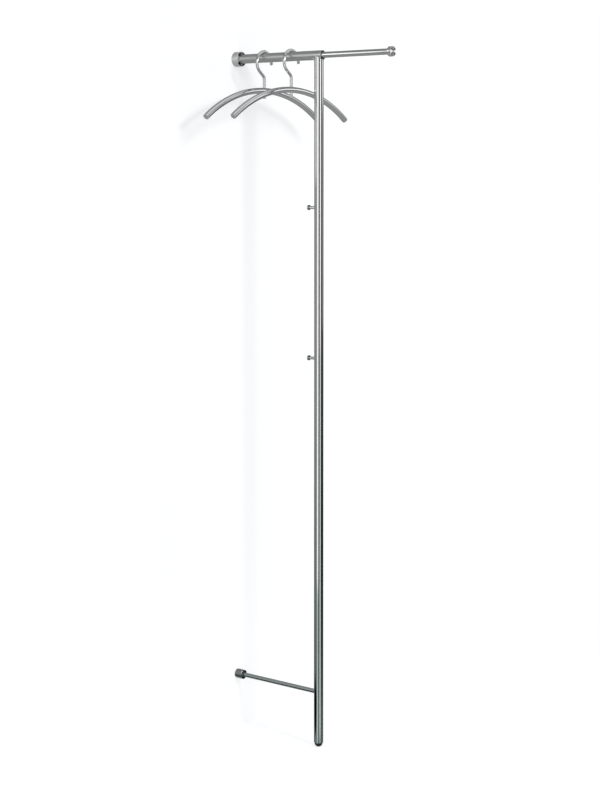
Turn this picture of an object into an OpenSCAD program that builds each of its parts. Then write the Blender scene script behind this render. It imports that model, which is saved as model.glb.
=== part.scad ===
// Wall coat rack of round stainless tube: a rail with a pull-out rod, carried by an upright
// that stands on a rubber foot, two wall sockets, two coat pegs and two hangers.
// The upright's axis is x = 0, y = 0, the floor is z = 0 and the wall is at y = wall_reach.

/* [Frame] */
// Height from the floor to the top of the rail
total_h = 1850; // [1700:10:2000]
// Distance from the upright's axis to the wall
wall_reach = 285; // [270:1:340]
// Outer diameter of the rail and of the upright
tube_d = 25; // [24:0.5:28]
// Wall of the rail and of the upright
tube_wall = 1.5; // [1.2:0.1:2]
// How far the rail's mouth stands in front of the upright's tube
rail_lip = 0.5; // [0:0.5:10]

/* [Lower strut] */
// Height of the strut's axis above the floor
strut_z = 147; // [100:1:300]
// Outer diameter of the strut
strut_d = 12; // [11:0.5:16]
// Wall of the strut
strut_wall = 1.5; // [1:0.1:2]

/* [Wall sockets] */
// Diameter of the rail's socket
upper_socket_d = 40; // [36:1:50]
// Length of the rail's socket along the rail
upper_socket_l = 20; // [16:1:28]
// Diameter of the strut's socket
lower_socket_d = 25; // [23:1:36]
// Length of the strut's socket along the strut
lower_socket_l = 24; // [16:1:32]
// Thickness of the sockets' floors, which lie on the wall
socket_floor = 5; // [4:0.5:8]
// Screw hole in the floor of the rail's socket
upper_screw_hole_d = 6.5; // [5:0.1:8]
// Screw hole in the floor of the strut's socket
lower_screw_hole_d = 5; // [4:0.1:6]
// Thread diameter of the grub screws that clamp the tubes
grub_d = 5; // [4:0.5:6]
// Length of the grub screws
grub_l = 6; // [4:0.5:6.5]

/* [Pull-out rod] */
// Thickness of the bush's sleeve between the rail's tube and the rod, which sets the rod's size
bush_wall = 2.9; // [2.4:0.1:3.5]
// Wall of the rod
rod_wall = 1.5; // [1:0.1:1.8]
// Length of rod that shows between the rail's mouth and the knob
rod_out = 213; // [120:1:225]
// Length of the guide bush behind its flange
bush_l = 36; // [30:1:50]
// Thickness of the bush's flange at the rail's mouth
bush_flange = 2; // [1:0.5:4]
// Length of the plastic stop collar on the rod's rear end
collar_l = 15.7; // [10:0.1:20]
// Diameter of the knob
knob_d = 26; // [20:1:36]
// Length of the knob along the rod
knob_l = 12; // [9:0.5:20]
// Depth of the pocket in the knob that the rod sits in
knob_pocket = 3; // [2:0.5:4]

/* [Coat pegs] */
// Step from the rail's axis to the upper peg, and on to the lower peg
peg_step = 398; // [200:1:600]
// Diameter of a peg's shank
peg_shank_d = 8; // [8:0.5:12]
// Length of a peg's shank
peg_shank_l = 19; // [12:1:60]
// Diameter of a peg's head
peg_head_d = 14; // [12:0.5:24]
// Thickness of a peg's head
peg_head_t = 4; // [2:0.5:8]

/* [Hangers] */
// Distance from the upright's axis to the first hanger, and on to the next
hanger_step = 93; // [70:1:105]
// Diameter of the hook's wire
wire_d = 8; // [6:0.5:9]
// Radius of the hook's loop, at the middle of the wire
loop_r = 30; // [27:0.5:34]
// How far the loop runs on past level on its open side, in degrees
tip_drop = 3; // [0:1:30]
// Slope of the hook's neck below level, in degrees
neck_slope = 38; // [30:1:45]
// Radius of the bend between the neck and the stem
neck_bend_r = 10; // [8:0.5:12]
// Height from the bow's axis up to the top of the rail
bow_drop = 100; // [98:1:140]
// Outer diameter of the bow's tube
bow_d = 16; // [14:0.5:20]
// Wall of the bow's tube
bow_wall = 1.2; // [1:0.1:2]
// Radius that the bow's axis is bent to
bow_r = 405; // [350:5:500]
// Half of the angle that the bow spans, in degrees
bow_half = 35.3; // [28:0.1:38]
// How far the stem shows below the bow
stem_stub = 13; // [6:1:25]
// Thickness of the end caps' flanges
cap_flange = 1.5; // [1:0.1:3]
// Length of the end caps' spigots inside the bow
cap_spigot = 6; // [4:0.5:6]

/* [Foot] */
// How far the rubber shows below the upright
foot_h = 11; // [10.5:0.5:16]
// Diameter of the rubber's flat where it stands on the floor
foot_flat_d = 9; // [6:0.5:12]
// Length of rubber inside the upright
foot_plug = 3; // [2:0.5:8]

/* [Fixings] */
// Thread diameter of the stud that joins the rail to the upright
tee_stud_d = 8; // [6:0.5:8]
// Length of the plugs inside the upright's two ends
insert_l = 24; // [16:1:40]
// Thread diameter of the foot's stud
foot_stud_d = 8; // [6:0.5:10]
// Thread diameter of the screws in the rod's two ends
rod_screw_d = 6; // [5:0.5:6]
// Length of the plugs inside the rod's two ends
rod_plug_l = 20; // [12:1:30]
// Thread diameter of the pegs' spigots and of the strut's stud
small_stud_d = 5; // [4:0.5:5]
// How deep the strut's stud goes into the upright
strut_stud_depth = 12.5; // [8:0.5:16]
// Outer diameter of the rivet nuts that hold the pegs
rivet_nut_d = 7; // [6.5:0.1:7.5]

/* [Fits] */
// Radial clearance of the rod and its collar, which slide
slide_gap = 0.05; // [0.02:0.01:0.1]
// Clearance between pieces that are fixed together
seat_gap = 0.05; // [0.03:0.01:0.1]
// Clearance under a hook that rests on the rail, and before a stop
rest_gap = 0.3; // [0.2:0.05:0.4]
// Chamfer on the turned edges
edge = 0.8; // [0.3:0.1:1]

/* [Hidden] */
$fn = 64;
arc_fn = 256;
wire_fn = 64;

satin_steel = [0.72, 0.73, 0.73];
polished_steel = [0.80, 0.81, 0.82];
zinc_steel = [0.60, 0.61, 0.63];
black_rubber = [0.06, 0.06, 0.06];
grey_plastic = [0.35, 0.36, 0.37];

// The rail's axis, its mouth and the bush inside it
tube_bore = tube_d - 2 * tube_wall;
plug_d = tube_bore - 2 * seat_gap;
rail_z = total_h - tube_d / 2;
mouth_y = -(tube_d / 2 + rail_lip);
rail_front_y = mouth_y + bush_flange;
bush_rear_y = rail_front_y + bush_l;

// The saddle's thin tips are cut off this far below the rail's axis
saddle_trim = 3;

// The rod is modelled pulled out, with its collar just behind the bush
rod_d = plug_d - 2 * bush_wall - 2 * slide_gap;
rod_bore = rod_d - 2 * rod_wall;
rod_plug_d = rod_bore - 2 * seat_gap;
knob_back_y = mouth_y - rod_out;
knob_face_y = knob_back_y - knob_l;
rod_front_y = knob_back_y - knob_pocket;
collar_front_y = bush_rear_y + rest_gap;
rod_rear_y = collar_front_y + collar_l;
knob_skin = 2;
screw_head_d = 18;
screw_head_t = 2.5;

upper_peg_z = rail_z - peg_step;
lower_peg_z = upper_peg_z - peg_step;
spigot_l = 9;
rivet_bulge = 1.2;
rivet_bulge_d = rivet_nut_d + 2 * rivet_bulge;
rivet_bulge_l = 2;

// The centre of the hooks' loops and the top of the bows' axes
loop_z = total_h + rest_gap + wire_d / 2 - loop_r;
bow_z = total_h - bow_drop;
hanger_1_y = 2 * hanger_step;
hanger_2_y = hanger_step;
stem_end_z = bow_z - bow_d / 2 - stem_stub;
bow_bore = bow_d - 2 * bow_wall;

// The runs of a hook's wire stop short of each other, and a ball closes each gap
run_gap = 0.02;
ball_proud = 0.03;

strut_plug_y = tube_d / 2 + rest_gap;
strut_plug_l = 20;
strut_stud_y = tube_d / 2 - strut_stud_depth;
foot_insert_z = foot_h + foot_plug + rest_gap;
foot_stud_z = foot_h / 2;

// Cutting bodies run this far past the faces that they cut, in mm and in degrees
through = 1;
through_angle = 1;

// Turns a piece's own Z to point at the wall, from the place y on the axis at height z
module to_wall(y, z) {
    translate([0, y, z]) rotate([-90, 0, 0]) children();
}

// Turns a piece's own Z to point away from the wall
module from_wall(y, z) {
    translate([0, y, z]) rotate([90, 0, 0]) children();
}

// A round bar or bore along Y, from y0 to y1 at height z
module bar_y(d, y0, y1, z) {
    to_wall(y0, z) cylinder(d = d, h = y1 - y0);
}

// A round bar or bore along Z, from z0 to z1 on the upright's axis
module bar_z(d, z0, z1) {
    translate([0, 0, z0]) cylinder(d = d, h = z1 - z0);
}

// A turned disc from z = 0 to h with both outer edges chamfered
module turned_disc(d, h) {
    r = d / 2;
    rotate_extrude()
        polygon([[0, 0], [r - edge, 0], [r, edge], [r, h - edge], [r - edge, h], [0, h]]);
}

module upright_tube() {
    color(polished_steel)
        difference() {
            bar_z(tube_d, foot_h, rail_z - saddle_trim);
            bar_z(tube_bore, foot_h - through, rail_z);
            bar_y(tube_d + 2 * seat_gap, -tube_d, tube_d, rail_z);
            bar_y(small_stud_d + 2 * seat_gap, 0, tube_d, strut_z);
            bar_y(rivet_nut_d + 2 * seat_gap, 0, tube_d, upper_peg_z);
            bar_y(rivet_nut_d + 2 * seat_gap, 0, tube_d, lower_peg_z);
        }
}

module top_rail_tube() {
    rear_y = wall_reach - socket_floor - seat_gap;
    color(satin_steel)
        difference() {
            bar_y(tube_d, rail_front_y + seat_gap, rear_y, rail_z);
            bar_y(tube_bore, rail_front_y - through, rear_y + through, rail_z);
            bar_z(tee_stud_d + 2 * seat_gap, rail_z - tube_d, rail_z);
        }
}

// The bush closes the rail's mouth, guides the rod and takes the end of the tee stud
module rod_guide_bush() {
    bore_r = rod_d / 2 + slide_gap;
    lead = edge / 2;
    rim_r = tube_d / 2;
    body_r = plug_d / 2;
    stud_top = rail_z - bore_r - lead;
    color(satin_steel)
        difference() {
            to_wall(mouth_y, rail_z)
                rotate_extrude()
                    polygon([
                        [bore_r + lead, 0], [rim_r - lead, 0], [rim_r, lead],
                        [rim_r, bush_flange], [body_r, bush_flange],
                        [body_r, bush_flange + bush_l], [bore_r, bush_flange + bush_l],
                        [bore_r, lead]
                    ]);
            bar_z(tee_stud_d + 2 * seat_gap, rail_z - tube_d, stud_top + seat_gap);
        }
}

module upright_head_plug() {
    top_z = rail_z - tube_d / 2 - seat_gap;
    color(zinc_steel)
        difference() {
            bar_z(plug_d, top_z - insert_l, top_z);
            bar_z(tee_stud_d + 2 * seat_gap, top_z - insert_l - through, top_z + through);
        }
}

module tee_joint_stud() {
    top_z = rail_z - rod_d / 2 - slide_gap - edge / 2;
    color(zinc_steel)
        bar_z(tee_stud_d, rail_z - tube_d / 2 - insert_l, top_z);
}

// A turned wall socket: its floor lies on the wall, its pocket takes the tube's end
module wall_socket(d, l, tube, hole_d, z) {
    r = d / 2;
    pocket_r = tube / 2 + seat_gap;
    hole_r = hole_d / 2;
    sink = min(socket_floor / 2, pocket_r - hole_r - seat_gap);
    lead = edge / 2;
    difference() {
        from_wall(wall_reach, z)
            rotate_extrude()
                polygon([
                    [hole_r, 0], [r - lead, 0], [r, lead], [r, l - edge], [r - edge, l],
                    [pocket_r + lead, l], [pocket_r, l - lead], [pocket_r, socket_floor],
                    [hole_r + sink, socket_floor], [hole_r, socket_floor - sink]
                ]);
        translate([0, wall_reach - (socket_floor + l) / 2, z - r - through])
            cylinder(d = grub_d + 2 * seat_gap, h = r + through);
    }
}

module upper_wall_socket() {
    color(satin_steel)
        wall_socket(upper_socket_d, upper_socket_l, tube_d, upper_screw_hole_d, rail_z);
}

module lower_wall_socket() {
    color(satin_steel)
        wall_socket(lower_socket_d, lower_socket_l, strut_d, lower_screw_hole_d, strut_z);
}

// A grub screw, driven from below until its cone meets the tube
module grub_screw(y, tube_bottom_z) {
    cone_h = grub_d / 5;
    key_d = grub_d / 2;
    translate([0, y, tube_bottom_z - seat_gap - grub_l])
        difference() {
            union() {
                cylinder(d = grub_d, h = grub_l - cone_h);
                translate([0, 0, grub_l - cone_h])
                    cylinder(d1 = grub_d, d2 = grub_d / 2, h = cone_h);
            }
            translate([0, 0, -through]) cylinder(d = key_d, h = grub_l / 2 + through, $fn = 6);
        }
}

module socket_grub_screws() {
    color(zinc_steel) {
        grub_screw(wall_reach - (socket_floor + upper_socket_l) / 2, rail_z - tube_d / 2);
        grub_screw(wall_reach - (socket_floor + lower_socket_l) / 2, strut_z - strut_d / 2);
    }
}

module lower_strut() {
    front_y = tube_d / 2 - strut_d / 4;
    rear_y = wall_reach - socket_floor - seat_gap;
    bore_d = strut_d - 2 * strut_wall;
    color(satin_steel)
        difference() {
            bar_y(strut_d, front_y, rear_y, strut_z);
            bar_y(bore_d, front_y - through, rear_y + through, strut_z);
            bar_z(tube_d + 2 * seat_gap, strut_z - strut_d, strut_z + strut_d);
        }
}

module strut_front_plug() {
    plug = strut_d - 2 * strut_wall - 2 * seat_gap;
    color(zinc_steel)
        difference() {
            bar_y(plug, strut_plug_y, strut_plug_y + strut_plug_l, strut_z);
            bar_y(small_stud_d + 2 * seat_gap, strut_plug_y - through,
                  strut_plug_y + strut_plug_l + through, strut_z);
        }
}

module strut_stud() {
    color(zinc_steel)
        bar_y(small_stud_d, strut_stud_y, strut_plug_y + strut_plug_l / 2, strut_z);
}

// A slug inside the upright, tapped crossways for the strut's stud
module upright_cross_insert() {
    color(zinc_steel)
        difference() {
            bar_z(plug_d, strut_z - insert_l / 2, strut_z + insert_l / 2);
            bar_y(small_stud_d + 2 * seat_gap, strut_stud_y - seat_gap, tube_d, strut_z);
        }
}

// A turned peg: its foot is cut to the upright's curve, its spigot screws into the rivet nut
module coat_peg(z) {
    root_y = tube_d / 2;
    shank_r = peg_shank_d / 2;
    head_r = peg_head_d / 2;
    lead = edge / 2;
    difference() {
        to_wall(root_y - shank_r / 2, z)
            rotate_extrude()
                polygon([
                    [0, 0], [shank_r, 0], [shank_r, shank_r / 2 + peg_shank_l],
                    [head_r - lead, shank_r / 2 + peg_shank_l],
                    [head_r, shank_r / 2 + peg_shank_l + lead],
                    [head_r, shank_r / 2 + peg_shank_l + peg_head_t - lead],
                    [head_r - lead, shank_r / 2 + peg_shank_l + peg_head_t],
                    [0, shank_r / 2 + peg_shank_l + peg_head_t]
                ]);
        bar_z(tube_d + 2 * seat_gap, z - peg_shank_d, z + peg_shank_d);
    }
    bar_y(small_stud_d, root_y - spigot_l, root_y + shank_r, z);
}

module upper_coat_peg() {
    color(satin_steel) coat_peg(upper_peg_z);
}

module lower_coat_peg() {
    color(satin_steel) coat_peg(lower_peg_z);
}

// A blind rivet nut, flush in the upright's wall, with its formed bulge behind the wall
module rivet_nut(z) {
    rear_y = tube_d / 2 - spigot_l;
    wall_y = sqrt(pow(tube_bore / 2, 2) - pow(rivet_bulge_d / 2, 2));
    intersection() {
        difference() {
            union() {
                bar_y(rivet_nut_d, rear_y, tube_d, z);
                bar_y(rivet_bulge_d, wall_y - seat_gap - rivet_bulge_l, wall_y - seat_gap, z);
            }
            bar_y(small_stud_d + 2 * seat_gap, rear_y - through, tube_d + through, z);
        }
        bar_z(tube_d, z - tube_d, z + tube_d);
    }
}

module peg_rivet_nuts() {
    color(zinc_steel) {
        rivet_nut(upper_peg_z);
        rivet_nut(lower_peg_z);
    }
}

module foot_insert() {
    color(zinc_steel)
        difference() {
            bar_z(plug_d, foot_insert_z, foot_insert_z + insert_l);
            bar_z(foot_stud_d + 2 * seat_gap, foot_insert_z - through,
                  foot_insert_z + insert_l + through);
        }
}

module foot_stud() {
    color(zinc_steel) bar_z(foot_stud_d, foot_stud_z, foot_insert_z + insert_l - through);
}

// A rubber dome with a flat where it stands, and a short plug inside the upright
module rubber_foot() {
    dome_r = plug_d / 2;
    flat_r = foot_flat_d / 2;
    dome_z = sqrt(dome_r * dome_r - flat_r * flat_r);
    low_angle = acos(flat_r / dome_r);
    steps = 16;
    top_z = foot_h + foot_plug;
    arc = [for (i = [0 : steps])
        let (a = -low_angle * (1 - i / steps))
        [dome_r * cos(a), dome_z + dome_r * sin(a)]];
    color(black_rubber)
        difference() {
            rotate_extrude() polygon(concat([[0, 0]], arc, [[dome_r, top_z], [0, top_z]]));
            bar_z(foot_stud_d + 2 * seat_gap, foot_stud_z - seat_gap, top_z + through);
        }
}

module pull_out_rod() {
    color(polished_steel)
        difference() {
            bar_y(rod_d, rod_front_y + seat_gap, rod_rear_y, rail_z);
            bar_y(rod_bore, rod_front_y - through, rod_rear_y + through, rail_z);
        }
}

module end_knob() {
    color(satin_steel)
        difference() {
            to_wall(knob_face_y, rail_z) turned_disc(knob_d, knob_l);
            bar_y(rod_d + 2 * seat_gap, rod_front_y, knob_back_y + through, rail_z);
            bar_y(rod_screw_d + 2 * seat_gap, knob_face_y + knob_skin, knob_back_y, rail_z);
        }
}

module knob_stud() {
    color(zinc_steel)
        bar_y(rod_screw_d, knob_face_y + knob_skin + seat_gap,
              rod_front_y + rod_plug_l - through, rail_z);
}

module rod_front_plug() {
    front_y = rod_front_y + seat_gap;
    color(zinc_steel)
        difference() {
            bar_y(rod_plug_d, front_y, front_y + rod_plug_l, rail_z);
            bar_y(rod_screw_d + 2 * seat_gap, front_y - through,
                  front_y + rod_plug_l + through, rail_z);
        }
}

module rod_rear_plug() {
    front_y = rod_rear_y - rod_plug_l;
    color(zinc_steel)
        difference() {
            bar_y(rod_plug_d, front_y, rod_rear_y, rail_z);
            bar_y(rod_screw_d + 2 * seat_gap, front_y - through, rod_rear_y + through, rail_z);
        }
}

module rod_stop_collar() {
    color(grey_plastic)
        difference() {
            to_wall(collar_front_y, rail_z)
                turned_disc(tube_bore - 2 * slide_gap, collar_l);
            bar_y(rod_d + 2 * seat_gap, collar_front_y - through, rod_rear_y + through, rail_z);
        }
}

// The wide head holds the collar on the rod's end
module stop_collar_screw() {
    head_y = rod_rear_y + seat_gap;
    key_d = rod_screw_d * 0.75;
    color(zinc_steel)
        difference() {
            union() {
                bar_y(rod_screw_d, rod_rear_y - rod_plug_l + through, head_y + through, rail_z);
                bar_y(screw_head_d, head_y, head_y + screw_head_t, rail_z);
            }
            to_wall(head_y + screw_head_t / 4, rail_z) cylinder(d = key_d, h = tube_d, $fn = 6);
        }
}

// An arc of round bar in the plane across the rail, from a0 to a1 degrees
module arc_bar(r, d, a0, a1) {
    rotate([90, 0, 0])
        rotate([0, 0, a0])
            rotate_extrude(angle = a1 - a0, $fn = arc_fn)
                translate([r, 0]) circle(d = d, $fn = wire_fn);
}

// One wire: loop over the rail, sloping neck, bend, and a stem that runs through the bow.
// A ball a hair wider than the wire joins each run to the next and rounds the tip.
module hanger_hook(y) {
    bend_turn = 90 - neck_slope;
    bend_reach = neck_bend_r * tan(bend_turn / 2);
    loop_end = 270 - neck_slope;
    neck_top_x = loop_r * cos(loop_end);
    neck_top_z = loop_z + loop_r * sin(loop_end);
    corner_z = neck_top_z + neck_top_x * tan(neck_slope);
    bend_z = corner_z - bend_reach;
    neck_low_x = -bend_reach * cos(neck_slope);
    neck_low_z = corner_z + bend_reach * sin(neck_slope);
    neck_l = (neck_low_x - neck_top_x) / cos(neck_slope);
    loop_gap = asin(run_gap / loop_r);
    bend_gap = asin(run_gap / neck_bend_r);
    translate([0, y, 0]) {
        translate([0, 0, loop_z])
            arc_bar(loop_r, wire_d, -tip_drop, loop_end - loop_gap);
        translate([neck_top_x, 0, neck_top_z]) rotate([0, 90 + neck_slope, 0])
            translate([0, 0, run_gap]) cylinder(d = wire_d, h = neck_l - 2 * run_gap);
        translate([-neck_bend_r, 0, bend_z])
            arc_bar(neck_bend_r, wire_d, bend_gap, bend_turn - bend_gap);
        translate([0, 0, stem_end_z]) cylinder(d = wire_d, h = bend_z - run_gap - stem_end_z);
        wire_ball(loop_r * cos(tip_drop), loop_z - loop_r * sin(tip_drop));
        wire_ball(neck_top_x, neck_top_z);
        wire_ball(neck_low_x, neck_low_z);
        wire_ball(0, bend_z);
    }
}

module wire_ball(x, z) {
    translate([x, 0, z]) sphere(r = wire_d / 2 + ball_proud);
}

// The bow: a tube bent to one radius, with a hole through both walls for the stem
module hanger_bow(y) {
    bore_half = bow_half + through_angle;
    difference() {
        translate([0, y, bow_z - bow_r])
            difference() {
                arc_bar(bow_r, bow_d, 90 - bow_half, 90 + bow_half);
                arc_bar(bow_r, bow_bore, 90 - bore_half, 90 + bore_half);
            }
        translate([0, y, bow_z - bow_d]) cylinder(d = wire_d + 2 * seat_gap, h = 2 * bow_d);
    }
}

// An end cap: its flange covers the tube's end and its spigot sits inside. side is -1 or 1
module bow_cap(y, side) {
    flange_r = bow_d / 2;
    lead = edge / 2;
    spigot_r = bow_bore / 2 - 2 * seat_gap;
    translate([0, y, bow_z - bow_r])
        rotate([0, side * bow_half, 0])
            translate([side * seat_gap, 0, bow_r])
                rotate([0, side * 90, 0])
                    rotate_extrude()
                        polygon([
                            [0, -cap_spigot], [spigot_r - lead, -cap_spigot],
                            [spigot_r, lead - cap_spigot], [spigot_r, 0], [flange_r, 0],
                            [flange_r, cap_flange - lead], [flange_r - lead, cap_flange],
                            [0, cap_flange]
                        ]);
}

// Hanger 1 hangs nearer the wall. Each hanger has a hook, a bow and two caps
module hanger_1_hook() {
    color(polished_steel) hanger_hook(hanger_1_y);
}

module hanger_1_bow() {
    color(polished_steel) hanger_bow(hanger_1_y);
}

module hanger_1_near_cap() {
    color(satin_steel) bow_cap(hanger_1_y, -1);
}

module hanger_1_far_cap() {
    color(satin_steel) bow_cap(hanger_1_y, 1);
}

module hanger_2_hook() {
    color(polished_steel) hanger_hook(hanger_2_y);
}

module hanger_2_bow() {
    color(polished_steel) hanger_bow(hanger_2_y);
}

module hanger_2_near_cap() {
    color(satin_steel) bow_cap(hanger_2_y, -1);
}

module hanger_2_far_cap() {
    color(satin_steel) bow_cap(hanger_2_y, 1);
}

upright_tube();
top_rail_tube();
rod_guide_bush();
upright_head_plug();
tee_joint_stud();
upper_wall_socket();
lower_wall_socket();
socket_grub_screws();
lower_strut();
strut_front_plug();
strut_stud();
upright_cross_insert();
upper_coat_peg();
lower_coat_peg();
peg_rivet_nuts();
foot_insert();
foot_stud();
rubber_foot();
pull_out_rod();
end_knob();
knob_stud();
rod_front_plug();
rod_rear_plug();
rod_stop_collar();
stop_collar_screw();
hanger_1_hook();
hanger_1_bow();
hanger_1_near_cap();
hanger_1_far_cap();
hanger_2_hook();
hanger_2_bow();
hanger_2_near_cap();
hanger_2_far_cap();
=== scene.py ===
"""A wall coat rack of round stainless tube, dressed for its studio picture.

The upright's axis is x = 0, y = 0, the floor is z = 0 and the wall is at y = 0.285.
The rack's lengths are in millimetres, turned to metres where they are used. The studio's
are in metres. Angles are in degrees unless a comment says otherwise.
"""

import math

import bpy
from mathutils import Matrix, Vector


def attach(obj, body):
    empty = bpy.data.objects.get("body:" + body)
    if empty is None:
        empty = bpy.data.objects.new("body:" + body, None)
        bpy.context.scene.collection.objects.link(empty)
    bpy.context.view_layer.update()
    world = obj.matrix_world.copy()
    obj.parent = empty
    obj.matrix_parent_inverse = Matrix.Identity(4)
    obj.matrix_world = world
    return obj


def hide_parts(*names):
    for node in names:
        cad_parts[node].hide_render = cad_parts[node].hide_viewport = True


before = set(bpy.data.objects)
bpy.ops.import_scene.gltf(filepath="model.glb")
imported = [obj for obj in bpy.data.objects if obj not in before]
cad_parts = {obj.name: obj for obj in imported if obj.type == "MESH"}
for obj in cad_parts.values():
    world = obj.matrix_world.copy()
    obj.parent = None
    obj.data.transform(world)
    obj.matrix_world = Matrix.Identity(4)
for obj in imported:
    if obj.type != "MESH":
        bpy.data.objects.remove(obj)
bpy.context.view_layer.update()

MM = 0.001
UP, TO_WALL, TO_ROOM = (0, 0, 1), (0, 1, 0), (0, -1, 0)

# Faces round a large piece, a small one, and a bar or pin
SIDES, SMALL_SIDES, WIRE_SIDES = 96, 64, 32

# Clearance of a seat, lead-in of a bore, broken edge of a turned disc
SEAT, LEAD, EDGE = 0.05, 0.4, 0.8
# Rounds that break the sharp edges
FINE_ROUND, TUBE_ROUND, KNOB_ROUND, STEM_ROUND = 0.1, 0.15, 0.2, 0.5

# Frame
TUBE_D, TUBE_BORE = 25.0, 22.0
RAIL_Z, WALL_Y = 1837.5, 285.0
SADDLE_TRIM = 3.0
MOUTH_Y, FLANGE, BUSH_L = -13.0, 2.0, 36.0
STRUT_Z, STRUT_D, STRUT_BORE = 147.0, 12.0, 9.0

# Wall sockets
SOCKET_FLOOR, GRUB_HOLE_D, GRUB_LEAD = 5.0, 5.1, 1.0
UPPER_SOCKET = {"d": 40, "length": 20, "tube": TUBE_D, "hole_d": 6.5, "z": RAIL_Z}
LOWER_SOCKET = {"d": 25, "length": 24, "tube": STRUT_D, "hole_d": 5.0, "z": STRUT_Z}

# Pegs
UPPER_PEG_Z, LOWER_PEG_Z = 1439.5, 1041.5
SHANK_D, SHANK_L, HEAD_D, HEAD_T = 8.0, 19.0, 14.0, 4.0
SPIGOT_D, SPIGOT_L, SPIGOT_ROOT = 5.0, 9.0, 2.0

# Foot
FOOT_H, FOOT_PLUG, FOOT_FLAT_D, FOOT_STUD_D = 11.0, 3.0, 9.0, 8.0
DOME_STEPS = 20

# Rod and knob
ROD_D, ROD_BORE, ROD_REAR_Y = 16.0, 13.0, 41.0
KNOB_BACK_Y, KNOB_L, KNOB_D = -226.0, 12.0, 26.0
KNOB_POCKET, KNOB_SKIN, KNOB_STUD_D = 3.0, 2.0, 6.0

# Hangers: hook, bow and end caps
HANGER_Y = {"hanger_1": 186.0, "hanger_2": 93.0}
WIRE_D, LOOP_R, LOOP_Z, TIP_DROP = 8.0, 30.0, 1824.3, 3.0
NECK_SLOPE, BEND_R, STEM_END_Z = 38.0, 10.0, 1729.0
LOOP_STEPS, BEND_STEPS, TIP_STEPS, TIP_SWEEP = 72, 16, 7, 85
BOW_Z, BOW_R, BOW_D, BOW_BORE, BOW_HALF = 1750.0, 405.0, 16.0, 13.6, 35.3
BOW_STEPS, STEM_CUT = 72, 40
CAP_FLANGE, CAP_SPIGOT = 1.5, 6.0

# Modelling

MERGE, SLIVER = 0.002 * MM, 0.003 * MM
SMOOTH_BELOW, BEVEL_ABOVE, STEM_BEVEL_ABOVE = 32, 40, 60


def start_clean():
    if bpy.context.mode != "OBJECT":
        bpy.ops.object.mode_set(mode="OBJECT")
    bpy.ops.object.select_all(action="DESELECT")


def take_up(obj):
    """Makes a piece the only selected and active one."""
    start_clean()
    bpy.context.view_layer.objects.active = obj
    obj.select_set(True)


def named(name):
    """Names the piece that was just added."""
    obj = bpy.context.object
    obj.name = name
    obj.data.name = name
    return obj


def to_edit_all():
    bpy.ops.object.mode_set(mode="EDIT")
    bpy.ops.mesh.select_mode(type="VERT")
    bpy.ops.mesh.select_all(action="SELECT")


def close_up():
    """Merges what meets, turns the faces outwards and leaves edit mode."""
    bpy.ops.mesh.select_all(action="SELECT")
    bpy.ops.mesh.remove_doubles(threshold=MERGE)
    bpy.ops.mesh.normals_make_consistent(inside=False)
    bpy.ops.object.mode_set(mode="OBJECT")


def clean_seams():
    """Removes the slivers that a cut or a rounded edge can leave."""
    to_edit_all()
    bpy.ops.mesh.dissolve_degenerate(threshold=SLIVER)
    close_up()


def place(obj, heading, at):
    """Turns a piece made along Z to a heading, moves it to its place and applies both."""
    obj.rotation_mode = "QUATERNION"
    obj.rotation_quaternion = Vector(UP).rotation_difference(Vector(heading))
    obj.location = Vector(at) * MM
    bpy.ops.object.transform_apply(location=True, rotation=True, scale=True)


def run_on(way):
    """Carries the selected ring straight on, by a way in mm."""
    bpy.ops.mesh.extrude_region_move(TRANSFORM_OT_translate={"value": Vector(way) * MM})


def bend_on(angle, centre, steps):
    """Carries the selected ring round a centre, from +Z towards +X for a positive angle."""
    bpy.ops.mesh.spin(
        steps=steps, angle=math.radians(angle), center=Vector(centre) * MM, axis=TO_ROOM)


def turned(name, profile, heading, at, sides=SIDES):
    """Turns a piece on the lathe: a profile of (radius, along) points, spun about Z."""
    start_clean()
    bpy.ops.mesh.primitive_plane_add(size=MM)
    obj = named(name)
    to_edit_all()
    bpy.ops.mesh.merge(type="CENTER")
    radius, along = profile[0]
    bpy.ops.transform.translate(value=(radius * MM, 0, along * MM))
    for (r0, a0), (r1, a1) in zip(profile, profile[1:]):
        run_on((r1 - r0, 0, a1 - a0))
    bpy.ops.mesh.select_all(action="SELECT")
    bpy.ops.mesh.spin(steps=sides, angle=2 * math.pi, center=(0, 0, 0), axis=UP)
    close_up()
    place(obj, heading, at)
    return obj


def tube_profile(d, bore, length):
    r, b = d / 2, bore / 2
    return [(b, 0), (r, 0), (r, length), (b, length), (b, 0)]


def open_ring(name, d, heading, at, sides):
    """A bare ring of edges, the start of a piece that is drawn along a path."""
    start_clean()
    bpy.ops.mesh.primitive_circle_add(vertices=sides, radius=d / 2 * MM, fill_type="NOTHING")
    obj = named(name)
    place(obj, heading, at)
    to_edit_all()
    return obj


def combine(obj, other, operation):
    """Cuts another mesh away or joins it on, removes that mesh and cleans the seam."""
    take_up(obj)
    step = obj.modifiers.new("combine", "BOOLEAN")
    step.operation = operation
    step.solver = "EXACT"
    step.object = other
    bpy.ops.object.modifier_apply(modifier=step.name)
    bpy.data.objects.remove(other)
    clean_seams()


def cut_away(obj, d, heading, at, length):
    """Cuts a round hole or a saddle with a cylinder that starts at a place."""
    start_clean()
    middle = Vector(at) + Vector(heading) * length / 2
    bpy.ops.mesh.primitive_cylinder_add(vertices=SIDES, radius=d / 2 * MM, depth=length * MM)
    cutter = bpy.context.object
    place(cutter, heading, middle)
    combine(obj, cutter, "DIFFERENCE")


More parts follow.
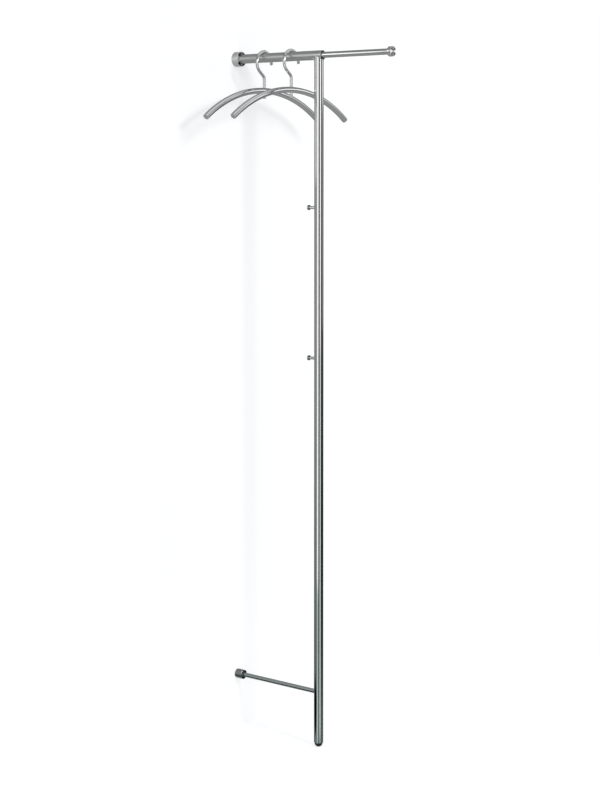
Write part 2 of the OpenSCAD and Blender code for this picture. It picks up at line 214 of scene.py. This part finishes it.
def soften(obj, width, segments=2, angle=BEVEL_ABOVE):
    """Breaks the sharp edges by a small round and shades long faces true to their shape."""
    take_up(obj)
    if width:
        edge = obj.modifiers.new("edge", "BEVEL")
        edge.width = width * MM
        edge.segments = segments
        edge.limit_method = "ANGLE"
        edge.angle_limit = math.radians(angle)
        bpy.ops.object.modifier_apply(modifier=edge.name)
        clean_seams()
    bpy.ops.object.shade_smooth_by_angle(angle=math.radians(SMOOTH_BELOW))
    normals = obj.modifiers.new("normals", "WEIGHTED_NORMAL")
    normals.mode = "FACE_AREA"
    normals.keep_sharp = True
    bpy.ops.object.modifier_apply(modifier=normals.name)


def finish_piece(obj, metal, slot, body, *nodes):
    obj.data.materials.clear()
    obj.data.materials.append(metal)
    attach(obj, body)
    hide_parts(*nodes)


# Pieces of the frame


def make_upright():
    profile = tube_profile(TUBE_D, TUBE_BORE, RAIL_Z - SADDLE_TRIM - FOOT_H)
    obj = turned("upright", profile, UP, (0, 0, FOOT_H))
    cut_away(obj, TUBE_D + 2 * SEAT, TO_WALL, (0, -TUBE_D, RAIL_Z), 2 * TUBE_D)
    soften(obj, 0)
    finish_piece(obj, polished, "polished_tube", "rack_frame", "upright_tube")


def make_rail():
    front = MOUTH_Y + FLANGE + SEAT
    rear = WALL_Y - SOCKET_FLOOR - SEAT
    profile = tube_profile(TUBE_D, TUBE_BORE, rear - front)
    obj = turned("rail", profile, TO_WALL, (0, front, RAIL_Z))
    soften(obj, TUBE_ROUND)
    finish_piece(obj, satin, "satin_tube", "rack_frame", "top_rail_tube")


def make_bush():
    """The bush in the rail's mouth, which guides the rod. Its flange shows as the mouth's ring."""
    bore, rim, body = ROD_D / 2 + SEAT, TUBE_D / 2, TUBE_BORE / 2 - SEAT
    end = FLANGE + BUSH_L
    profile = [
        (bore + LEAD, 0), (rim - LEAD, 0), (rim, LEAD), (rim, FLANGE), (body, FLANGE),
        (body, end), (bore, end), (bore, LEAD), (bore + LEAD, 0),
    ]
    obj = turned("mouth_bush", profile, TO_WALL, (0, MOUTH_Y, RAIL_Z))
    soften(obj, FINE_ROUND)
    finish_piece(obj, ring_steel, "turned_steel", "rack_frame", "rod_guide_bush")


def make_socket(name, node, metal, d, length, tube, hole_d, z):
    """A turned socket, flat on the wall, with a countersunk screw hole and a grub screw's hole."""
    r, pocket, hole = d / 2, tube / 2 + SEAT, hole_d / 2
    sink = min(SOCKET_FLOOR / 2, pocket - hole - SEAT)
    profile = [
        (hole, 0), (r - LEAD, 0), (r, LEAD), (r, length - EDGE), (r - EDGE, length),
        (pocket + LEAD, length), (pocket, length - LEAD), (pocket, SOCKET_FLOOR),
        (hole + sink, SOCKET_FLOOR), (hole, SOCKET_FLOOR - sink), (hole, 0),
    ]
    obj = turned(name, profile, TO_ROOM, (0, WALL_Y, z))
    below = r + GRUB_LEAD
    grub_at = (0, WALL_Y - (SOCKET_FLOOR + length) / 2, z - below)
    cut_away(obj, GRUB_HOLE_D, UP, grub_at, below - tube / 4)
    soften(obj, TUBE_ROUND)
    finish_piece(obj, metal, "turned_steel", "rack_frame", node)


def make_strut():
    front = TUBE_D / 2 - STRUT_D / 4
    rear = WALL_Y - SOCKET_FLOOR - SEAT
    profile = tube_profile(STRUT_D, STRUT_BORE, rear - front)
    obj = turned("strut", profile, TO_WALL, (0, front, STRUT_Z))
    cut_away(obj, TUBE_D + 2 * SEAT, UP, (0, 0, STRUT_Z - STRUT_D), 2 * STRUT_D)
    soften(obj, FINE_ROUND)
    finish_piece(obj, fine_satin, "satin_tube", "rack_frame", "lower_strut")


def make_peg(name, node, z):
    """A coat peg: shank and head, saddled on the upright, with a spigot into its wall."""
    root = TUBE_D / 2
    shank, head, spigot = SHANK_D / 2, HEAD_D / 2, SPIGOT_D / 2
    back, end = root - shank / 2, root + SHANK_L
    tip = end + HEAD_T
    profile = [
        (0, back), (shank, back), (shank, end), (head - LEAD, end), (head, end + LEAD),
        (head, tip - LEAD), (head - LEAD, tip), (0, tip),
    ]
    obj = turned(name, profile, TO_WALL, (0, 0, z), SMALL_SIDES)
    cut_away(obj, TUBE_D + 2 * SEAT, UP, (0, 0, z - SHANK_D), 2 * SHANK_D)
    inner, outer = root - SPIGOT_L, root + SPIGOT_ROOT
    profile = [(0, inner), (spigot, inner), (spigot, outer), (0, outer)]
    combine(obj, turned("spigot", profile, TO_WALL, (0, 0, z), WIRE_SIDES), "UNION")
    soften(obj, TUBE_ROUND)
    finish_piece(obj, ring_steel, "turned_steel", "rack_frame", node)


def make_foot():
    """A rubber foot: a dome with a flat for the floor, and a plug up into the tube."""
    r, flat = TUBE_BORE / 2 - SEAT, FOOT_FLAT_D / 2
    centre = math.sqrt(r * r - flat * flat)
    low = math.acos(flat / r)
    turns = [low * (1 - i / DOME_STEPS) for i in range(DOME_STEPS + 1)]
    dome = [(r * math.cos(turn), centre - r * math.sin(turn)) for turn in turns]
    top, stud, deep = FOOT_H + FOOT_PLUG, FOOT_STUD_D / 2 + SEAT, FOOT_H / 2 - SEAT
    profile = [(0, 0)] + dome + [(r, top), (stud, top), (stud, deep), (0, deep)]
    obj = turned("rubber_dome", profile, UP, (0, 0, 0))
    soften(obj, 0)
    finish_piece(obj, rubber, "black_rubber", "rack_frame", "rubber_foot")


# Pieces of the rod


def make_rod():
    front = KNOB_BACK_Y - KNOB_POCKET + SEAT
    profile = tube_profile(ROD_D, ROD_BORE, ROD_REAR_Y - front)
    obj = turned("rod", profile, TO_WALL, (0, front, RAIL_Z))
    soften(obj, TUBE_ROUND)
    finish_piece(obj, polished, "polished_tube", "sliding_rod", "pull_out_rod")


def make_knob():
    r, pocket, stud = KNOB_D / 2, ROD_D / 2 + SEAT, KNOB_STUD_D / 2 + SEAT
    deep = KNOB_L - KNOB_POCKET
    profile = [
        (0, 0), (r - EDGE, 0), (r, EDGE), (r, KNOB_L - EDGE), (r - EDGE, KNOB_L),
        (pocket, KNOB_L), (pocket, deep), (stud, deep), (stud, KNOB_SKIN), (0, KNOB_SKIN),
    ]
    obj = turned("knob", profile, TO_WALL, (0, KNOB_BACK_Y - KNOB_L, RAIL_Z))
    soften(obj, KNOB_ROUND)
    finish_piece(obj, turned_steel, "turned_steel", "sliding_rod", "end_knob")


# Pieces of the hangers


def make_hook(body):
    """One bent bar: loop over the rail, sloping neck, bend and stem."""
    y = HANGER_Y[body]
    turn = 90 - NECK_SLOPE
    sweep = 270 - NECK_SLOPE
    reach = BEND_R * math.tan(math.radians(turn / 2))
    tip, end = math.radians(-TIP_DROP), math.radians(sweep)
    slope = math.radians(NECK_SLOPE)
    at = (LOOP_R * math.cos(tip), y, LOOP_Z + LOOP_R * math.sin(tip))
    neck_x, neck_z = LOOP_R * math.cos(end), LOOP_Z + LOOP_R * math.sin(end)
    bend_z = neck_z + neck_x * math.tan(slope) - reach
    neck_l = (-reach * math.cos(slope) - neck_x) / math.cos(slope)
    heading = (-math.sin(tip), 0, math.cos(tip))
    obj = open_ring(body + "_bent_hook", WIRE_D, heading, at, WIRE_SIDES)
    bend_on(-(sweep + TIP_DROP), (0, y, LOOP_Z), LOOP_STEPS)
    run_on((neck_l * math.cos(slope), 0, -neck_l * math.sin(slope)))
    bend_on(turn, (-BEND_R, y, bend_z), BEND_STEPS)
    run_on((0, 0, STEM_END_Z - bend_z))
    bpy.ops.mesh.select_all(action="DESELECT")
    bpy.ops.mesh.select_mode(type="EDGE")
    bpy.ops.mesh.select_non_manifold(extend=False, use_boundary=True)
    bpy.ops.mesh.edge_face_add()
    close_up()
    round_tip(obj, at, -Vector(heading))
    soften(obj, STEM_ROUND, 3, STEM_BEVEL_ABOVE)
    finish_piece(obj, polished_wire, "polished_wire", body, body + "_hook")


def round_tip(obj, at, outward):
    """Draws the flat end of the loop out into a half ball, ring by ring."""
    centre = Vector(at) * MM
    r = WIRE_D / 2
    bpy.ops.object.mode_set(mode="EDIT")
    bpy.ops.mesh.select_mode(type="FACE")
    bpy.ops.mesh.select_all(action="DESELECT")
    bpy.ops.object.mode_set(mode="OBJECT")
    for face in obj.data.polygons:
        here = (Vector(face.center) - centre).length < r / 4 * MM
        face.select = here and len(face.vertices) == WIRE_SIDES
    bpy.ops.object.mode_set(mode="EDIT")
    turns = [math.radians(TIP_SWEEP) * i / TIP_STEPS for i in range(TIP_STEPS + 1)]
    for last, turn in zip(turns, turns[1:]):
        run_on(outward * (math.sin(turn) - math.sin(last)) * r)
        bpy.ops.transform.resize(value=(math.cos(turn) / math.cos(last),) * 3)
    bpy.ops.object.mode_set(mode="OBJECT")


def make_bow(body):
    y = HANGER_Y[body]
    half = math.radians(BOW_HALF)
    start = (-BOW_R * math.sin(half), y, BOW_Z - BOW_R + BOW_R * math.cos(half))
    heading = (math.cos(half), 0, math.sin(half))
    obj = open_ring(body + "_bent_bow", BOW_D, heading, start, SMALL_SIDES)
    bend_on(2 * BOW_HALF, (0, y, BOW_Z - BOW_R), BOW_STEPS)
    close_up()
    wall = obj.modifiers.new("wall", "SOLIDIFY")
    wall.thickness = (BOW_D - BOW_BORE) / 2 * MM
    wall.offset = -1
    wall.use_even_offset = True
    bpy.ops.object.modifier_apply(modifier=wall.name)
    cut_away(obj, WIRE_D + 2 * SEAT, UP, (0, y, BOW_Z - STEM_CUT / 2), STEM_CUT)
    soften(obj, FINE_ROUND)
    finish_piece(obj, polished, "polished_tube", body, body + "_bow")


def make_cap(body, side, node):
    """An end cap: a flange over the tube's end and a spigot inside it."""
    half = math.radians(BOW_HALF)
    flange, spigot = BOW_D / 2, BOW_BORE / 2 - 2 * SEAT
    profile = [
        (0, -CAP_SPIGOT), (spigot - LEAD, -CAP_SPIGOT), (spigot, LEAD - CAP_SPIGOT),
        (spigot, 0), (flange, 0), (flange, CAP_FLANGE - LEAD), (flange - LEAD, CAP_FLANGE),
        (0, CAP_FLANGE),
    ]
    heading = Vector((side * math.cos(half), 0, -math.sin(half)))
    end = (side * BOW_R * math.sin(half), HANGER_Y[body], BOW_Z - BOW_R + BOW_R * math.cos(half))
    obj = turned(node + "_disc", profile, heading, Vector(end) + heading * SEAT, SMALL_SIDES)
    soften(obj, TUBE_ROUND)
    finish_piece(obj, cap_steel, "turned_steel", body, node)


# Finishes

# Socket numbers of the node that mixes two colours
FACTOR, COLOUR_A, COLOUR_B, MIXED = 0, 6, 7, 2
WHITE = "#FFFFFF"
METAL = {"Metallic": 1.0}
# Spacing of the clouds in a drawn tube's polish and of the tool marks on a turned piece, in mm
CLOUD, TOOL_PITCH = 60, 1.5


def linear(hex_colour):
    """An sRGB hex colour as linear values."""
    parts = [int(hex_colour[i : i + 2], 16) / 255 for i in (1, 3, 5)]
    flat = [c / 12.92 if c <= 0.04045 else ((c + 0.055) / 1.055) ** 2.4 for c in parts]
    return (*flat, 1.0)


def link_up(tree, node, links):
    for key, source in dict(links).items():
        tree.links.new(source, node.inputs[key])


def add(tree, kind, settings=(), links=()):
    """Adds a node with its settings, on inputs or on the node itself, and its links."""
    node = tree.nodes.new(kind)
    for key, value in dict(settings).items():
        if isinstance(key, int) or key in node.inputs:
            node.inputs[key].default_value = value
        else:
            setattr(node, key, value)
    link_up(tree, node, links)
    return node


def empty_tree(owner):
    """The node tree of a material or world, emptied."""
    owner.use_nodes = True
    owner.node_tree.nodes.clear()
    return owner.node_tree


def new_finish(name, settings):
    """A material with a shader wired to its output, and the place on the piece to vary it by."""
    material = bpy.data.materials.new(name)
    tree = empty_tree(material)
    shader = add(tree, "ShaderNodeBsdfPrincipled", settings)
    add(tree, "ShaderNodeOutputMaterial", (), {"Surface": shader.outputs[0]})
    place_of = add(tree, "ShaderNodeTexCoord")
    return material, tree, shader, place_of


def noise(tree, place_on, spacing, detail, roughness=0.5):
    """Noise with its spacing in mm."""
    settings = {"Scale": 1.0 / (spacing * MM), "Detail": detail, "Roughness": roughness}
    return add(tree, "ShaderNodeTexNoise", settings, {"Vector": place_on}).outputs[0]


def spread(tree, value, low=0.0, high=1.0, start=0.0, stop=1.0):
    """A value carried from the range start to stop into the range low to high."""
    settings = {"From Min": start, "From Max": stop, "To Min": low, "To Max": high}
    return add(tree, "ShaderNodeMapRange", settings, {"Value": value}).outputs[0]


def reckon(tree, operation, *values):
    """A sum, product or absolute value."""
    settings = {"operation": operation}
    return add(tree, "ShaderNodeMath", settings, dict(enumerate(values))).outputs[0]


def ramp(tree, value, stops):
    """A colour ramp over a value. Each stop is a position and a linear colour."""
    node = add(tree, "ShaderNodeValToRGB", (), {0: value})
    points = node.color_ramp.elements
    while len(points) < len(stops):
        points.new(0.5)
    for point, (at, colour) in zip(points, stops):
        point.position = at
        point.color = colour
    return node.outputs[0]


def mottled(tree, colour, value, low, high):
    """A colour made darker and lighter by a value."""
    tone = spread(tree, value, low, high)
    settings = {
        "data_type": "RGBA", "blend_type": "MULTIPLY", FACTOR: 1.0, COLOUR_A: linear(colour)}
    return add(tree, "ShaderNodeMix", settings, {COLOUR_B: tone}).outputs[MIXED]


def dented(tree, height, strength, depth):
    """A surface dented by a value, with its depth in mm."""
    settings = {"Strength": strength, "Distance": depth * MM}
    return add(tree, "ShaderNodeBump", settings, {"Height": height}).outputs[0]


def drawn_steel(name, colour, roughness, spacing, along, depth):
    """Stainless tube with fine lines along it, their spacing and depth in mm."""
    material, tree, shader, place_of = new_finish(name, METAL)
    on_piece = place_of.outputs["Object"]
    stretch = add(tree, "ShaderNodeMapping", {"Scale": along}, {"Vector": on_piece})
    lines = noise(tree, stretch.outputs[0], spacing, detail=3.0, roughness=0.6)
    cloud = noise(tree, on_piece, CLOUD, detail=2.0)
    rough = spread(tree, cloud, roughness * 0.85, roughness * 1.2, start=0.3, stop=0.7)
    link_up(tree, shader, {
        "Base Color": mottled(tree, colour, lines, low=0.94, high=1.04),
        "Roughness": rough,
        "Normal": dented(tree, lines, strength=0.12, depth=depth),
    })
    return material


def lathe_steel(name, colour, side, face, wedges):
    """Turned stainless. Light and dark wedges are painted into the colour of its flat faces, a
    painted highlight and painted dark reflection, set by how the rings of tool marks run.

    side and face are the roughness round the piece and on its ends.
    """
    material, tree, shader, place_of = new_finish(name, METAL)
    facing = add(tree, "ShaderNodeSeparateXYZ", (), {0: place_of.outputs["Normal"]})
    flat = reckon(tree, "ABSOLUTE", facing.outputs["Y"])
    ends = spread(tree, flat, start=0.80, stop=0.95)
    around = add(tree, "ShaderNodeTangent", {"direction_type": "RADIAL", "axis": "Y"})
    turn = add(tree, "ShaderNodeSeparateXYZ", (), {0: around.outputs[0]})
    steep = reckon(tree, "ABSOLUTE", turn.outputs["Z"])
    # Painted highlight and painted dark reflection: light and dark wedges multiplied into the flat
    # ends' colour
    painted_fan = ramp(tree, steep, [(at, (level, level, level, 1.0)) for at, level in wedges])
    cloud = noise(tree, place_of.outputs["Object"], TOOL_PITCH, detail=2.0)
    base = mottled(tree, colour, cloud, low=0.95, high=1.05)
    painted_ends = add(tree, "ShaderNodeMix", {"data_type": "RGBA", "blend_type": "MULTIPLY"},
                 {FACTOR: ends, COLOUR_A: base, COLOUR_B: painted_fan})
    link_up(tree, shader, {
        "Base Color": painted_ends.outputs[MIXED],
        "Roughness": spread(tree, ends, low=side, high=face),
    })
    return material


def moulded_rubber(name, colour):
    """Moulded rubber: nearly black, matt, with a fine spark-eroded grain from the mould."""
    material, tree, shader, place_of = new_finish(name, {"IOR": 1.52, "Roughness": 0.55})
    grain = noise(tree, place_of.outputs["Object"], spacing=0.4, detail=3.0)
    link_up(tree, shader, {
        "Base Color": mottled(tree, colour, grain, low=0.8, high=1.25),
        "Normal": dented(tree, grain, strength=0.3, depth=0.1),
    })
    return material


def zinc_plate(name, colour):
    """Zinc plated steel: bluish, slightly cloudy, semi-matt."""
    material, tree, shader, place_of = new_finish(name, METAL)
    cloud = noise(tree, place_of.outputs["Object"], spacing=3, detail=4.0)
    link_up(tree, shader, {
        "Base Color": mottled(tree, colour, cloud, low=0.85, high=1.1),
        "Roughness": spread(tree, cloud, low=0.3, high=0.45),
    })
    return material


def turned_acetal(name, colour):
    """Turned acetal plastic: grey, matt, with faint tool marks."""
    material, tree, shader, place_of = new_finish(name, {"IOR": 1.48, "Roughness": 0.45})
    marks = noise(tree, place_of.outputs["Object"], spacing=0.5, detail=2.0)
    link_up(tree, shader, {"Base Color": mottled(tree, colour, marks, low=0.92, high=1.06)})
    return material


# Studio

# Camera from a fit to the tubes' edges in the photograph: metres, radians, pixels, and the
# sensor in millimetres
CAMERA_AT = (-3.6191, -2.8264, 1.5348)
CAMERA_YAW, CAMERA_PITCH = 0.8972, -0.0621
FOCAL_PX, AXIS_COL, AXIS_ROW = 1748.3, 300.4, 280.0
PICTURE_W, PICTURE_H, SENSOR_H = 600.0, 800.0, 36.0
NEAR, FAR = 0.05, 60.0

# A faint green-blue in the light near the floor
LOW_TINT, ROOM_TINT = "#F1FFFB", "#E2FFF6"

# Soft lamps: direction, distance, lower edge's height, width and height, brightness, colour
LAMPS = {
    "left_box": (-169, 2.2, -0.1, (1.36, 2.65), 1.35, WHITE),
    "left_low_box": (-169, 2.2, -0.75, (1.36, 0.65), 0.6, LOW_TINT),
    "front_box": (-106, 2.3, 0.85, (0.98, 1.7), 1.4, WHITE),
    "front_low_box": (-106, 2.3, -0.75, (0.98, 1.6), 1.05, LOW_TINT),
    "right_box": (-38, 2.5, 1.8, (1.3, 1.1), 1.2, WHITE),
    "right_low_box": (-38, 2.5, 0.9, (1.3, 0.9), 0.28, WHITE),
    "rear_box": (144.5, 2.0, 1.50, (0.32, 1.15), 1.35, WHITE),
    "rear_side_box": (137, 2.0, 1.50, (0.36, 1.15), 0.65, WHITE),
    "key": (-101, 2.5, 2.23, (0.5, 0.5), 30, WHITE),
    "overhead": (-72, 0.95, 2.2, (2.2, 2.2), 0.55, WHITE),
}

# Room brightness over the upward part of the view's direction, in front and behind the wall
FRONT_ROOM = (
    (-0.45, 0.42), (-0.31, 0.16), (-0.27, 0.05), (-0.20, 0.03), (-0.10, 0.07), (0.0, 0.13),
    (0.6, 0.30),
)
BACK_ROOM = (
    (-0.50, 0.38), (-0.28, 0.18), (-0.10, 0.36), (0.10, 0.42), (0.40, 0.40), (0.65, 0.24),
    (0.95, 0.42),
)
TINTED = (-0.40, -0.20)

PAPER, PAPER_GLOW, CARD_BLACK = "#C8C8C8", "#FCFDFF", "#080808"

# The camera sees the paper lifted to white, by more where the lamps light it less: up the
# wall and to the right. Each row is an axis, the places along it and the lifts there.
LIFTS = (("Z", (0.0, 2.15), (0.674, 0.490)), ("X", (-0.27, 1.25), (0.0, 0.135)))

# Sheets of the stage: middle, width, length of the floor, height of the wall, card, and how
# far each lies below or behind what stands on it
SHEET_X, SHEET_W, FLOOR_L, WALL_H = 0.15, 2.2, 1.4, 2.15
CARD_SIZE, CARD_X, CARD_Y = (0.42, 0.5), -0.28, 0.32
FLOOR_GAP, WALL_GAP, CARD_GAP = 0.0002, 0.0003, 0.0004


def make_camera():
    yaw, pitch = CAMERA_YAW, CAMERA_PITCH
    level = math.cos(pitch)
    ahead = Vector((math.sin(yaw) * level, math.cos(yaw) * level, math.sin(pitch)))
    right = Vector((math.cos(yaw), -math.sin(yaw), 0))
    lens = bpy.data.cameras.new("camera")
    lens.sensor_fit = "VERTICAL"
    lens.sensor_height = SENSOR_H
    lens.lens = FOCAL_PX * SENSOR_H / PICTURE_H
    lens.shift_x = (PICTURE_W / 2 - AXIS_COL) / PICTURE_H
    lens.shift_y = (AXIS_ROW - PICTURE_H / 2) / PICTURE_H
    lens.clip_start = NEAR
    lens.clip_end = FAR
    obj = bpy.data.objects.new("camera", lens)
    turn = Matrix((right, right.cross(ahead), -ahead)).transposed().to_4x4()
    obj.matrix_world = Matrix.Translation(CAMERA_AT) @ turn
    bpy.context.scene.collection.objects.link(obj)
    bpy.context.scene.camera = obj


def softbox(name, azimuth, away, base, size, radiance, colour):
    """An upright soft lamp that faces the rack. Its brightness is the one a mirror would show."""
    wide, high = size
    turn = math.radians(azimuth)
    side = Vector((math.cos(turn), math.sin(turn), 0))
    lamp = bpy.data.lights.new(name, "AREA")
    lamp.shape = "RECTANGLE"
    lamp.size, lamp.size_y = wide, high
    lamp.energy = radiance * math.pi * wide * high
    lamp.color = linear(colour)[:3]
    obj = bpy.data.objects.new(name, lamp)
    at = side * away + Vector((0, 0, base + high / 2))
    obj.matrix_world = Matrix.Translation(at) @ side.to_track_quat("Z", "Y").to_matrix().to_4x4()
    obj.visible_camera = False
    bpy.context.scene.collection.objects.link(obj)
    return obj


def make_lamps():
    """The lamps all stand upright but the one overhead, which faces down."""
    lamps = {name: softbox(name, *row) for name, row in LAMPS.items()}
    lamps["overhead"].rotation_mode = "XYZ"
    lamps["overhead"].rotation_euler = (0, 0, 0)


def room_ramp(tree, height, levels):
    """Room brightness over the height of the view's direction, tinted near the floor."""
    low, high = levels[0][0], levels[-1][0]
    stops = []
    for z, level in levels:
        tint = linear(ROOM_TINT if TINTED[0] < z < TINTED[1] else WHITE)
        stops.append(((z - low) / (high - low), (*(level * c for c in tint[:3]), 1.0)))
    return ramp(tree, spread(tree, height, start=low, stop=high), stops)


def make_world():
    """White for the camera. The metal shows a dim room with a dark floor in front of the rack."""
    world = bpy.data.worlds.new("studio")
    bpy.context.scene.world = world
    tree = empty_tree(world)
    way = add(tree, "ShaderNodeTexCoord")
    parts = add(tree, "ShaderNodeSeparateXYZ", (), {0: way.outputs["Generated"]}).outputs
    behind = spread(tree, parts["Y"], start=-0.1, stop=0.1)
    level = add(tree, "ShaderNodeMix", {"data_type": "RGBA"},
                {FACTOR: behind, COLOUR_A: room_ramp(tree, parts["Z"], FRONT_ROOM),
                 COLOUR_B: room_ramp(tree, parts["Z"], BACK_ROOM)})
    room = add(tree, "ShaderNodeBackground", (), {"Color": level.outputs[MIXED]})
    white = add(tree, "ShaderNodeBackground", {"Color": linear(WHITE)})
    path = add(tree, "ShaderNodeLightPath")
    both = add(tree, "ShaderNodeMixShader", (),
               {0: path.outputs["Is Camera Ray"], 1: room.outputs[0], 2: white.outputs[0]})
    add(tree, "ShaderNodeOutputWorld", (), {"Surface": both.outputs[0]})


def backdrop_finish(name, albedo, one_sided):
    """Matt studio paper that keeps the rack's shadow. One sided, it is clear from behind."""
    material = bpy.data.materials.new(name)
    tree = empty_tree(material)
    paper = add(tree, "ShaderNodeBsdfDiffuse", {"Color": linear(albedo)})
    place_of = add(tree, "ShaderNodeTexCoord")
    parts = add(tree, "ShaderNodeSeparateXYZ", (), {0: place_of.outputs["Object"]}).outputs
    lift = reckon(tree, "ADD", *(spread(tree, parts[axis], *levels, *places)
                                 for axis, places, levels in LIFTS))
    path = add(tree, "ShaderNodeLightPath")
    glow = reckon(tree, "MULTIPLY", path.outputs["Is Camera Ray"], lift)
    lifted = add(tree, "ShaderNodeEmission", {"Color": linear(PAPER_GLOW)}, {"Strength": glow})
    surface = add(tree, "ShaderNodeAddShader", (), {0: paper.outputs[0], 1: lifted.outputs[0]})
    if one_sided:
        side = add(tree, "ShaderNodeNewGeometry")
        clear = add(tree, "ShaderNodeBsdfTransparent")
        surface = add(tree, "ShaderNodeMixShader", (),
                      {0: side.outputs["Backfacing"], 1: surface.outputs[0], 2: clear.outputs[0]})
    add(tree, "ShaderNodeOutputMaterial", (), {"Surface": surface.outputs[0]})
    return material


def panel(name, size, tilt, at, finish):
    """A flat sheet of studio paper. It takes shadows but stays out of the metal's reflections."""
    start_clean()
    bpy.ops.mesh.primitive_plane_add(size=1)
    sheet = bpy.context.object
    sheet.name = name
    sheet.scale = (*size, 1)
    sheet.rotation_euler = (math.radians(tilt), 0, 0)
    sheet.location = at
    bpy.ops.object.transform_apply(location=True, rotation=True, scale=True)
    sheet.data.materials.append(finish)
    sheet.visible_glossy = False
    sheet.visible_shadow = False
    return sheet


def make_stage():
    """A pale floor, the wall that carries the rack, and a card that only metal reflects."""
    wall_y = WALL_Y * MM
    floor = panel("floor", (SHEET_W, FLOOR_L), 0, (SHEET_X, wall_y - FLOOR_L / 2, -FLOOR_GAP),
                  backdrop_finish("floor_paper", PAPER, False))
    wall = panel("wall", (SHEET_W, WALL_H), 90, (SHEET_X, wall_y + WALL_GAP, WALL_H / 2),
                 backdrop_finish("wall_paper", PAPER, True))
    card = panel("card", CARD_SIZE, 0, (CARD_X, CARD_Y, -CARD_GAP),
                 backdrop_finish("card_black", CARD_BLACK, False))
    card.visible_glossy = True
    card.visible_camera = False
    card.visible_diffuse = False


bpy.context.scene.view_settings.view_transform = "Standard"
make_camera()
make_lamps()
make_world()
make_stage()

# Light and dark wedges painted into a turned face's colour, a painted highlight and painted dark
# reflection:
# how upright the tool marks run, and how bright the face is painted there
PAINTED_WEDGES = ((0.0, 0.36), (0.45, 0.26), (0.66, 0.03), (0.84, 0.06), (0.95, 1.0))
WIDE_PAINTED_WEDGES = ((0.0, 0.20), (0.22, 0.07), (0.40, 0.01), (0.78, 0.02), (0.93, 1.0))
NO_PAINTED_WEDGES = ((0.0, 1.0), (1.0, 1.0))
# How the lines are stretched: along the upright, along the rail, or not at all
ALONG_Z, ALONG_Y, EVEN = (1, 1, 0.02), (1, 0.02, 1), (1, 1, 1)

# Polished stainless tube: nearly a mirror, with drawn lines that only soften its stripes
polished = drawn_steel(
    "stainless_tube_polished", "#CFD0D1", roughness=0.10, spacing=0.5, along=ALONG_Z, depth=0.004)
# Polished stainless bar: a little softer than the tube
polished_wire = drawn_steel(
    "stainless_bar_polished", "#CFD0D1", roughness=0.20, spacing=0.5, along=EVEN, depth=0.004)
# Satin stainless tube: ground with fine grit, so that its stripes run into each other
satin = drawn_steel(
    "stainless_tube_satin_ground", "#CACBCB", roughness=0.40, spacing=0.4, along=ALONG_Y,
    depth=0.01)
# Fine satin stainless tube: ground with a finer grit, so that it still shows some stripes. Its
# colour is painted green-blue, the tint of the light near the floor
fine_satin = drawn_steel(
    "stainless_tube_fine_satin", "#CCD6D5", roughness=0.16, spacing=0.4, along=ALONG_Y,
    depth=0.006)
# Turned stainless: fine rings of tool marks, for the knob, with the light and dark wedges painted
# on its faces
turned_steel = lathe_steel(
    "stainless_turned", "#DADADA", side=0.15, face=0.22, wedges=PAINTED_WEDGES)
# The same, with wider painted wedges of highlight and shade on the mouth's ring and the pegs'
# heads
ring_steel = lathe_steel(
    "stainless_turned_ring", "#DADADA", side=0.15, face=0.22, wedges=WIDE_PAINTED_WEDGES)
# Turned stainless of a duller tool: the lower socket. Its colour is painted darker and green-blue,
# painted shade and the tint of the light near the floor, and its face carries the painted wedges
fine_turned_steel = lathe_steel(
    "stainless_turned_fine", "#AEB4B5", side=0.34, face=0.22, wedges=PAINTED_WEDGES)
# Turned stainless caps: too small to show wedges, so none are painted
cap_steel = lathe_steel(
    "stainless_turned_cap", "#D2D2D2", side=0.5, face=0.5, wedges=NO_PAINTED_WEDGES)
# Turned stainless, its outside blasted with fine beads: the upper socket, with the wider painted
# wedges on its face
blasted_steel = lathe_steel(
    "stainless_turned_bead_blasted", "#ECECEC", side=0.52, face=0.22, wedges=WIDE_PAINTED_WEDGES)
# Black rubber, as it leaves its mould
rubber = moulded_rubber("rubber_moulded_black", "#141414")
# Steel, zinc plated: the hidden screws, studs, plugs and inserts
zinc = zinc_plate("steel_zinc_plated", "#B4B7BC")
# Acetal, turned: the rod's stop collar
acetal = turned_acetal("acetal_turned_grey", "#5A5B5D")

make_upright()
make_rail()
make_bush()
make_socket("upper_socket", "upper_wall_socket", blasted_steel, **UPPER_SOCKET)
make_socket("lower_socket", "lower_wall_socket", fine_turned_steel, **LOWER_SOCKET)
make_strut()
make_peg("upper_peg", "upper_coat_peg", UPPER_PEG_Z)
make_peg("lower_peg", "lower_coat_peg", LOWER_PEG_Z)
make_foot()
make_rod()
make_knob()
for hanger in HANGER_Y:
    make_hook(hanger)
    make_bow(hanger)
    make_cap(hanger, -1, hanger + "_near_cap")
    make_cap(hanger, 1, hanger + "_far_cap")

# The hidden fixings keep their own meshes and only get their finish
FIXINGS = (
    "upright_head_plug", "tee_joint_stud", "socket_grub_screws", "strut_front_plug", "strut_stud",
    "upright_cross_insert", "peg_rivet_nuts", "foot_insert", "foot_stud", "knob_stud",
    "rod_front_plug", "rod_rear_plug", "stop_collar_screw",
)
for node, finish in [(name, zinc) for name in FIXINGS] + [("rod_stop_collar", acetal)]:
    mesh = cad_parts[node].data
    mesh.materials.clear()
    mesh.materials.append(finish)
